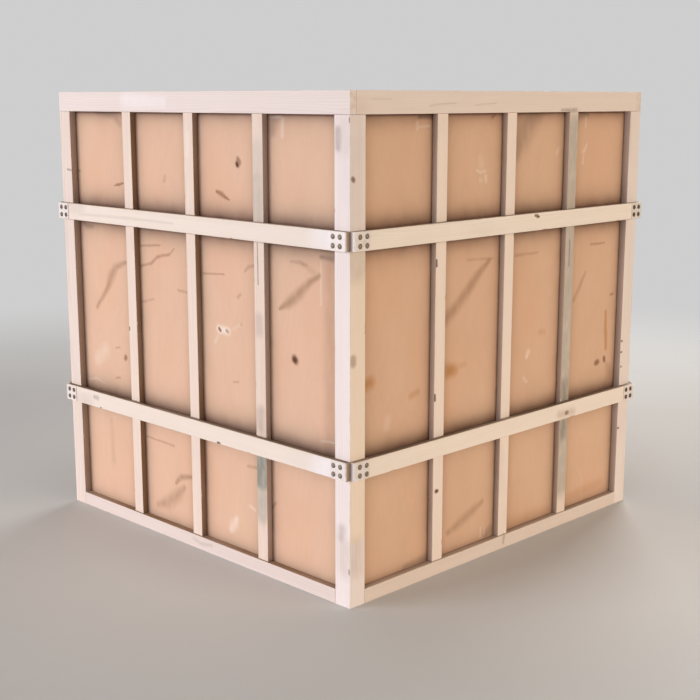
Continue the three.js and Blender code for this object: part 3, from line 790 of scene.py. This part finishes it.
def ease_and_dent(solid, axis, radius, draw):
    """Rounds the outer edges, dents the long ones, and returns each vertex's "edge" value."""
    arrises = long_arrises(solid, axis)
    plans = [plan_dents(draw, low, high) for _, low, high in arrises]
    phases = [(draw.uniform(0, 6), draw.uniform(0, 6)) for _ in arrises]
    round_edges(solid, radius, steps=3)
    low, high = (pick(vert.co[axis] for vert in solid.verts) for pick in (min, max))
    stations = [*np.arange(low + END_MARGIN, high - END_MARGIN, STATION_STEP), high - END_MARGIN]
    for middle, half_length, _ in (dent for dents in plans for dent in dents):
        stations += [middle + share * half_length for share in (-1.0, -0.55, 0.0, 0.5, 1.0)]
    cut_across(solid, axis, thinned(stations, 0.8 * MM))

    points = np.array([vert.co for vert in solid.verts])
    along, across = points[:, axis].copy(), np.delete(points, axis, 1)
    edge_value = np.zeros(len(points))
    for (line, start, end), dents, (phase_a, phase_b) in zip(arrises, plans, phases):
        offset = across - line
        near = (np.abs(offset).max(1) < 1.04 * radius) & (along > start - TOUCH) & (along < end + TOUCH)
        rounded = np.abs(offset).min(1) > 0.06 * radius
        growth = 0.16 + 0.1 * np.sin(along * 21 + phase_a) + 0.06 * np.sin(along * 67 + phase_b)
        for middle, half_length, depth in dents:
            growth += depth * np.clip(1 - ((along - middle) / half_length) ** 2, 0, 1)
        growth *= np.clip((along - start) / END_MARGIN, 0, 1) * np.clip((end - along) / END_MARGIN, 0, 1)
        across[near] = line + offset[near] * (1 + growth[near, None])
        edge_value[near & rounded] = 1 + np.clip(growth[near & rounded] - 0.4, 0, 2)
    for vert, place in zip(solid.verts, np.insert(across, axis, along, 1)):
        vert.co = place
    return edge_value


def write_attributes(mesh, **attributes):
    """Gives every vertex a number or a vector by each name. A lone number goes to all of them."""
    for name, values in attributes.items():
        values = np.asarray(values, np.float32)
        if values.ndim == 0:
            values = np.full(len(mesh.vertices), values)
        kind, field = ("FLOAT_VECTOR", "vector") if values.ndim == 2 else ("FLOAT", "value")
        mesh.attributes.new(name, kind, "POINT").data.foreach_set(field, values.ravel())


def solid_to_mesh(solid, name):
    """A mesh shaded smooth over its roundings, and crisp at the edges that were left sharp."""
    for face in solid.faces:
        face.smooth = True
    for edge in solid.edges:
        edge.smooth = edge.calc_face_angle(0) < CRISP
    mesh = bpy.data.meshes.new(name)
    solid.to_mesh(mesh)
    solid.free()
    return mesh


def place_piece(name, mesh, materials, node):
    """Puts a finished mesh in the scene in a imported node's stead."""
    for material in materials:
        mesh.materials.append(material)
    piece = bpy.data.objects.new(name, mesh)
    bpy.context.scene.collection.objects.link(piece)
    evened = piece.modifiers.new("even_normals", "WEIGHTED_NORMAL")
    evened.keep_sharp = True
    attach(piece, BODY_OF[node])
    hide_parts(node)
    return piece


def recess_depth(points, outer_face):
    """How deep in a wall's recess each point lies, from 0 at its board's outer face to 1 at the plywood."""
    out = np.abs(points[:, :2]).max(1)
    share = np.clip((outer_face - out) / (outer_face - PLY_FACE), 0, 1)
    return share * (out > PLY_FACE - PLY_THICKNESS / 2)


def board(node, material, seed, warmth=0.0, recessed=False):
    """A piece of sawn timber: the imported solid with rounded, dented arrises and a grain of its own."""
    draw = random.Random(seed)
    low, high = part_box(node)
    axis = max(range(3), key=lambda index: (high - low)[index])
    solid = packed_solid(node)
    edge_value = ease_and_dent(solid, axis, ARRIS[SLOT_OF[node]], draw)
    mesh = solid_to_mesh(solid, node)

    points = np.array([vert.co for vert in mesh.vertices])
    across = np.delete(points - np.array((low + high) / 2), axis, 1)
    heart = np.array((draw.uniform(-0.5, 0.5), draw.uniform(0.4, 1.0) * draw.choice((-1, 1))))
    write_attributes(
        mesh,
        grain=np.column_stack((points[:, axis] + draw.uniform(5, 60), across + heart * HEART_OFFSET)),
        edge=edge_value,
        tone=BOARD_TONES_AND_SHADE.get(node, draw.uniform(-0.35, 0.35)),
        warmth=warmth,
        recess=recess_depth(points, np.abs(points[:, :2]).max()) if recessed else 0.0,
        dirt=BOARD_SHADE.get(node, 1.0),
    )
    return place_piece(f"{node}_board", mesh, [material], node)


def sheet_of_plywood(node, materials, seed, grain_axis, bow):
    """A sheet of plywood with eased edges. It bows inwards a little between the studs that it is nailed to.
    With a material for each bay, the bays run from left to right as seen from outside."""
    draw = random.Random(seed)
    low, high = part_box(node)
    thin = min(range(3), key=lambda index: (high - low)[index])
    wide = 3 - thin - grain_axis
    middle, size = np.array((low + high) / 2), np.array(high - low)
    solid = packed_solid(node)
    round_edges(solid, ARRIS["plywood"], steps=2)
    for axis in (grain_axis, wide):
        cut_across(solid, axis, np.arange(low[axis] + PLY_CELL, high[axis] - PLY_CELL / 2, PLY_CELL))
    cut_across(solid, wide, [(low + high)[wide] / 2 + step * BAY_STEP for step in (-1, 0, 1)])
    mesh = solid_to_mesh(solid, node)

    points = np.array([vert.co for vert in mesh.vertices])
    offset = points - middle
    from_rim = size / 2 - np.abs(offset)
    held = np.minimum(from_rim, HELD_RIM) / HELD_RIM
    with_grain, across = points[:, grain_axis], points[:, wide]
    ripple = np.sin(with_grain * 9 + draw.uniform(0, 6)) * np.sin(across * 7 + draw.uniform(0, 6))
    bays = np.sin(math.pi * (offset[:, wide] / size[wide] + 0.5) * BAYS) ** 2
    outward = 1.0 if thin == 2 else np.sign(middle[thin])
    points[:, thin] -= outward * bow * bays * (0.6 + 0.4 * ripple) * held[:, grain_axis] * held[:, wide]
    mesh.vertices.foreach_set("co", points.astype(np.float32).ravel())
    shift, side_shift = draw.uniform(5, 60), draw.uniform(5, 60)
    write_attributes(
        mesh,
        grain=np.column_stack((with_grain + shift, across + side_shift, outward * offset[:, thin])),
        cut_edge=np.minimum(from_rim[:, grain_axis], from_rim[:, wide]) < 0.1 * MM,
        tone=BOARD_TONES_AND_SHADE.get(node, draw.uniform(-0.6, 0.6)),
    )
    if len(materials) == BAYS:
        rightward = 1.0 if node.startswith(("front", "right")) else -1.0
        for face in mesh.polygons:
            face.material_index = bay_at(rightward * (face.center[wide] - middle[wide]))
    return place_piece(f"{node}_sheet", mesh, materials, node)


# ---------------------------------------------------------------- steel

SHEET = 2.5 * MM
NOTCH_GAP = 0.3 * MM  # between the pressed sheet and the wood that it lies against
BEND_RADIUS = 3.2 * MM  # of the sheet's middle line
BEND_STEPS = 6
PLATE_CORNER = 5 * MM
PLATE_EASING = 0.5 * MM
PLATE_RIM = 0.3 * MM  # how far in from its ends a plate is rubbed
TURNED_SIDES = 28

BOLT_RADIUS = 8 * MM
BOLT_FROM_CORNER = (19 * MM, 47 * MM)
BOLT_ROW = 13 * MM  # above and below the plate's middle line
BOLT_TILT = 0.012  # in radians, the spread of each head's lean
SCREW_RADIUS, SCREW_HEAD = 6 * MM, 3.5 * MM
SHANK_RADIUS, SHANK_CORE = 3 * MM, 2.2 * MM
SCREW_TIP = 6 * MM
RIDGE_PITCH = 2.6 * MM
BARE_SHANK = 14 * MM  # between the ridges and the screw's head
STAR_LOBES = 6
STAR_RADIUS, STAR_WAVE, STAR_DEPTH = 2.9 * MM, 0.5 * MM, 2.2 * MM
STAR_TAPER = 0.93  # the star's size at its foot, as a share of that at its mouth


def rounded_path(points, radius, steps):
    """A polyline through the points with its corners rounded, as a list of plan positions."""
    path = [points[0]]
    for before, corner, after in zip(points, points[1:], points[2:]):
        arriving, leaving = (corner - before).normalized(), (after - corner).normalized()
        start, end = corner - arriving * radius, corner + leaving * radius
        centre = start + end - corner
        for step in range(steps + 1):
            angle = step / steps * math.pi / 2
            path.append(centre + (start - centre) * math.cos(angle) + (end - centre) * math.sin(angle))
    return path + [points[-1]]


def dense_at_ends(path, reaches):
    """The path with more points near both ends, where the plate's corners are rounded off."""
    def from_end(end, following):
        heading = (following - end).normalized()
        return [end + heading * reach for reach in reaches]

    return from_end(path[0], path[1]) + path[1:-1] + from_end(path[-1], path[-2])[::-1]


def skin(solid, rings):
    """Joins each ring of vertices to the next, and closes both ends."""
    for ring, following in zip(rings, rings[1:]):
        for index in range(len(ring)):
            after = (index + 1) % len(ring)
            solid.faces.new((ring[index], ring[after], following[after], following[index]))
    solid.faces.new(rings[0][::-1])
    solid.faces.new(rings[-1])


def finished_solid(solid, name):
    bmesh.ops.recalc_face_normals(solid, faces=solid.faces)
    return solid_to_mesh(solid, name)


def corner_turn(corner):
    """The turn that takes the front right corner to another."""
    return Matrix.Rotation(CORNERS.index(corner) * math.pi / 2, 4, "Z")


def bracket_plate(node, corner):
    """The pressed strip: a leg along each batten, folded into the notch between the battens' ends. In the
    notch it carries painted shade: evenly on the side of the front or back wall, and by depth on the other."""
    low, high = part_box(node)
    middle_height, half_height = (low.z + high.z) / 2, (high.z - low.z) / 2
    face = BATTEN_FACE + NOTCH_GAP + SHEET / 2
    notch = HALF + NOTCH_GAP + SHEET / 2
    folds = [(LEG_END, -face), (notch, -face), (notch, -notch), (face, -notch), (face, -LEG_END)]
    path = rounded_path([Vector(fold) for fold in folds], BEND_RADIUS, BEND_STEPS)
    path = dense_at_ends(path, (0.0, 0.4 * MM, 1.2 * MM, 2.4 * MM, PLATE_CORNER, 9 * MM))

    solid = bmesh.new()
    rings, edges = [], []
    total = sum((b - a).length for a, b in zip(path, path[1:]))
    travelled = 0.0
    for index, point in enumerate(path):
        before, after = path[max(index - 1, 0)], path[min(index + 1, len(path) - 1)]
        travelled += (point - before).length
        heading = (after - before).normalized()
        outward = Vector((heading.y, -heading.x))
        from_end = min(travelled, total - travelled)
        inset = max(PLATE_CORNER - from_end, 0.0)
        tall = half_height - PLATE_CORNER + math.sqrt(PLATE_CORNER ** 2 - inset ** 2)
        thick = SHEET / 2 - (PLATE_EASING if from_end == 0.0 else 0.0)
        section = [(thick, tall - PLATE_EASING), (thick - PLATE_EASING, tall)]
        section += [(-out, up) for out, up in reversed(section)]
        section += [(out, -up) for out, up in reversed(section)]
        ring = []
        for out, up in section:
            place = point + outward * out
            ring.append(solid.verts.new((place.x, place.y, middle_height + up)))
            edges.append(abs(up) > tall - 0.1 * MM or from_end < PLATE_RIM)
        rings.append(ring)
    skin(solid, rings)
    bmesh.ops.rotate(solid, verts=solid.verts, cent=(0, 0, 0), matrix=corner_turn(corner).to_3x3())
    mesh = finished_solid(solid, node)
    points = np.abs([vert.co for vert in mesh.vertices])
    depth = np.clip((face - SHEET - points[:, :2].max(1)) / (face - SHEET - notch), 0, 1)
    on_front_or_back = points[:, 1] > points[:, 0]
    write_attributes(mesh, edge=edges, recess=np.where(on_front_or_back, depth > 0, depth ** 0.8))
    return place_piece(f"{node}_plate", mesh, [ZINC], node)


def ring_round(solid, axis, radii, height):
    """A ring of vertices round an axis, at one radius for each of its sides."""
    ring = []
    for side, radius in enumerate(radii):
        angle = 2 * math.pi * side / TURNED_SIDES
        place = Vector((radius * math.cos(angle), radius * math.sin(angle), height))
        ring.append(solid.verts.new(axis @ place))
    return ring


def turned_rings(solid, axis, profile):
    """The rings of a turned shape: profile holds (radius, height) from its foot up."""
    return [ring_round(solid, axis, [radius] * TURNED_SIDES, height) for radius, height in profile]


def bolt_profile(rise):
    """A flat rim and a low dome, as (radius, height)."""
    rim = [(-0.3, 0.0), (0.0, 0.3), (0.0, 0.8), (-0.4, 1.1), (-1.1, 1.15)]  # beyond the radius, and up
    dome_radius, dome_foot = BOLT_RADIUS - 1.4 * MM, 1.3 * MM
    dome = [
        (dome_radius * math.cos(angle), dome_foot + (rise - dome_foot) * math.sin(angle))
        for angle in np.linspace(0.0, 0.47 * math.pi, 8)
    ]
    return [(BOLT_RADIUS + out * MM, up * MM) for out, up in rim] + dome


def bracket_bolts(node, corner):
    """The eight heads on a bracket, each turned a little off true."""
    draw = random.Random(node)
    low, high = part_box(node)
    seat = BATTEN_FACE + NOTCH_GAP + SHEET
    profile = bolt_profile(CAD_BOX[1].x - seat - 0.1 * MM)
    on_rim = [radius > 7.2 * MM and height > 0.2 * MM for radius, height in profile]
    solid = bmesh.new()
    for leg, from_corner, row in itertools.product((0, 1), BOLT_FROM_CORNER, (-1, 1)):
        along, up = HALF - from_corner, (low.z + high.z) / 2 + row * BOLT_ROW
        place = Vector((along, -seat, up)) if leg == 0 else Vector((seat, -along, up))
        outward = Vector((0, -1, 0)) if leg == 0 else Vector((1, 0, 0))
        tilted = (outward + Vector([draw.gauss(0, BOLT_TILT) for _ in range(3)])).normalized()
        axis = Matrix.Translation(place) @ tilted.to_track_quat("Z", "Y").to_matrix().to_4x4()
        skin(solid, turned_rings(solid, corner_turn(corner) @ axis, profile))
    mesh = finished_solid(solid, f"{node}_bolts")
    heads = len(mesh.vertices) // (len(profile) * TURNED_SIDES)
    write_attributes(mesh, edge=np.tile(np.repeat(on_rim, TURNED_SIDES), heads), recess=BOLT_SHADE[corner])
    return place_piece(f"{node}_bolts", mesh, [BOLT_STEEL], node)


def lid_screw(node):
    """A countersunk screw with a star recess and a ridged shank."""
    low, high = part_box(node)
    middle, length = (low + high) / 2, high.z - low.z
    profile = [(0.3 * MM, 0.0), (1.6 * MM, SCREW_TIP * 0.6)]
    for ridge in range(int((length - SCREW_HEAD - BARE_SHANK - SCREW_TIP) / RIDGE_PITCH)):
        foot = SCREW_TIP + ridge * RIDGE_PITCH
        crest = (SHANK_RADIUS - 0.05 * MM, foot + RIDGE_PITCH * 0.4)
        profile += [(SHANK_CORE, foot), crest, (SHANK_CORE, foot + RIDGE_PITCH * 0.8)]
    profile += [
        (2.5 * MM, length - SCREW_HEAD), (SCREW_RADIUS - 0.1 * MM, length - 0.5 * MM),
        (SCREW_RADIUS - 0.3 * MM, length), (4.2 * MM, length),
    ]
    solid = bmesh.new()
    axis = Matrix.Translation((middle.x, middle.y, low.z))
    rings = turned_rings(solid, axis, profile)
    turns = np.arange(TURNED_SIDES) / TURNED_SIDES
    star = STAR_RADIUS + STAR_WAVE * np.cos(2 * math.pi * STAR_LOBES * turns)
    rings.append(ring_round(solid, axis, star, length))
    rings.append(ring_round(solid, axis, star * STAR_TAPER, length - STAR_DEPTH))
    skin(solid, rings)
    mesh = finished_solid(solid, node)
    on_rim = [False] * (len(profile) - 1) + [True, True, False]
    write_attributes(mesh, edge=np.repeat(on_rim, TURNED_SIDES))
    return place_piece(f"{node}_turned", mesh, [SCREW_STEEL], node)


# ---------------------------------------------------------------- the crate


def timber_of(stock, wall):
    return WOOD.get((stock, wall), WOOD[stock, "plain"])


def build_walls():
    for wall in WALLS:
        sheet_of_plywood(f"{wall}_wall_plywood", WOOD["plywood", wall], f"sheet {wall}", 2, bow=1.4 * MM)
        looks = timber_of("frame_timber", wall)
        board(f"{wall}_top_rail", looks, f"top rail {wall}", warmth=RAIL_WARMTH[wall])
        board(f"{wall}_bottom_rail", looks, f"bottom rail {wall}", warmth=RAIL_WARMTH[wall], recessed=True)
        for number in STUDS:
            board(f"{wall}_stud_{number}", looks, f"stud {number} {wall}", STUD_WARMTH[wall], recessed=True)
        looks = timber_of("batten_timber", wall)
        for level in LEVELS:
            board(f"{wall}_{level}_batten", looks, f"{level} {wall}", recessed=True)


def build_corners():
    for corner in CORNERS:
        looks = WOOD["frame_timber", POST_LOOKS[corner]]
        board(f"post_{corner}", looks, f"post {corner}", warmth=POST_WARMTH[corner], recessed=True)
        for level in LEVELS:
            bracket_plate(f"{level}_bracket_{corner}", corner)
            bracket_bolts(f"{level}_bracket_{corner}", corner)


def build_floor_and_lid():
    for side in ("left", "middle", "right"):
        board(f"floor_bearer_{side}", WOOD["frame_timber", "plain"], f"bearer {side}")
        board(f"lid_batten_{side}", WOOD["batten_timber", "plain"], f"lid batten {side}")
    for side in WALLS:
        board(f"lid_board_{side}", WOOD["frame_timber", "plain"], f"lid board {side}")
    for name in ("floor_plywood", "lid_plywood"):
        sheet_of_plywood(name, WOOD["plywood", "plain"], name, 1, bow=0.4 * MM)
    for end in ("front", "back"):
        for side in ("left", "right"):
            lid_screw(f"lid_screw_{end}_{side}")


# ---------------------------------------------------------------- camera, light and floor

CAMERA_FROM_CORNER = 3.459  # level distance from the near post's outer edge
CAMERA_HEIGHT = 1.476
CAMERA_PITCH = math.radians(11.37)  # looking down
CAMERA_LENS = 64.2
SENSOR = 36.0
FLOOR_RADIUS = 5.2
FLOOR_FADE_START = 2.0


def make_camera():
    """Looks squarely at the near corner, so that the front and right walls show alike."""
    lens = bpy.data.cameras.new("camera")
    lens.lens, lens.sensor_width = CAMERA_LENS, SENSOR
    camera = bpy.data.objects.new("camera", lens)
    away = CAMERA_FROM_CORNER * math.sqrt(0.5)
    camera.location = (HALF + away, -HALF - away, CAMERA_HEIGHT)
    camera.rotation_euler = (math.pi / 2 - CAMERA_PITCH, 0.0, math.pi / 4)
    bpy.context.scene.collection.objects.link(camera)
    bpy.context.scene.camera = camera


def area_light(name, bearing, elevation, distance, size, level, colour):
    """A soft panel aimed at the crate's middle. Bearing is in degrees from -Y towards +X. Level is the share
    of full white that a white face turned squarely to the panel would reach."""
    lamp = bpy.data.lights.new(name, "AREA")
    lamp.shape = "RECTANGLE"
    lamp.size, lamp.size_y = size
    lamp.energy = level * (math.pi * distance) ** 2
    lamp.color = colour
    light = bpy.data.objects.new(name, lamp)
    around, up = math.radians(bearing), math.radians(elevation)
    target = Vector((0.0, 0.0, HEIGHT / 2))
    away = Vector((math.sin(around) * math.cos(up), -math.cos(around) * math.cos(up), math.sin(up)))
    light.location = target + away * distance
    light.rotation_euler = away.to_track_quat("Z", "Y").to_euler()
    light.visible_camera = False
    bpy.context.scene.collection.objects.link(light)


def make_world(ambient, backdrop):
    """An even, low ambient light, with a backdrop of its own brightness behind the floor."""
    world = bpy.data.worlds.new("studio")
    world.use_nodes = True
    world.node_tree.nodes.clear()
    graph = Graph(world.node_tree)
    seen = graph.add("ShaderNodeLightPath").outputs["Is Camera Ray"]
    colour = graph.mix(seen, (*ambient, 1.0), (*backdrop, 1.0))
    background = graph.add("ShaderNodeBackground", {"Color": colour})
    graph.add("ShaderNodeOutputWorld", {"Surface": background.outputs["Background"]})
    bpy.context.scene.world = world


def make_floor():
    """A pale studio floor that fades into the backdrop well away from the crate."""
    material, graph, shader = new_material("studio_floor")
    point = graph.place()
    from_middle = graph.vector("LENGTH", point)
    graph.put(shader.inputs["Alpha"], graph.ramp(from_middle, FLOOR_FADE_START, FLOOR_RADIUS, 1.0, 0.0))
    cloud = graph.noise(point, (0.8, 0.8, 0.8), detail=3)
    grit = graph.noise(point, (60, 60, 60), detail=3)
    colour = graph.mix(cloud, (0.60, 0.585, 0.57, 1.0), (0.66, 0.645, 0.63, 1.0))
    finish_material(graph, shader, colour, graph.total((1.0, 0.6), (0.2, grit)), grit, FLOOR_RELIEF)
    outline = bmesh.new()
    bmesh.ops.create_circle(outline, cap_ends=True, radius=FLOOR_RADIUS, segments=96)
    mesh = bpy.data.meshes.new("studio_floor")
    outline.to_mesh(mesh)
    outline.free()
    mesh.materials.append(material)
    floor = bpy.data.objects.new("studio_floor", mesh)
    bpy.context.scene.collection.objects.link(floor)


def make_studio():
    bpy.context.scene.view_settings.view_transform = "Standard"
    make_world((0.095, 0.085, 0.075), (0.62, 0.62, 0.62))
    make_floor()
    area_light("key", -24, 8, 11.0, (6.2, 4.6), 0.72, (0.98, 0.98, 1.01))
    area_light("key_side", 22, 8, 11.0, (4.0, 4.0), 0.17, (0.90, 1.0, 1.14))
    area_light("fill", 100, 8, 11.0, (6.2, 4.6), 0.575, (1.0, 0.885, 0.70))
    area_light("back", 200, 25, 7.0, (3.5, 2.5), 0.55, (1.0, 0.98, 0.96))
    area_light("top", 20, 80, 6.0, (3.0, 3.0), 0.30, (1.0, 0.98, 0.96))


build_walls()
build_corners()
build_floor_and_lid()
make_camera()
make_studio()
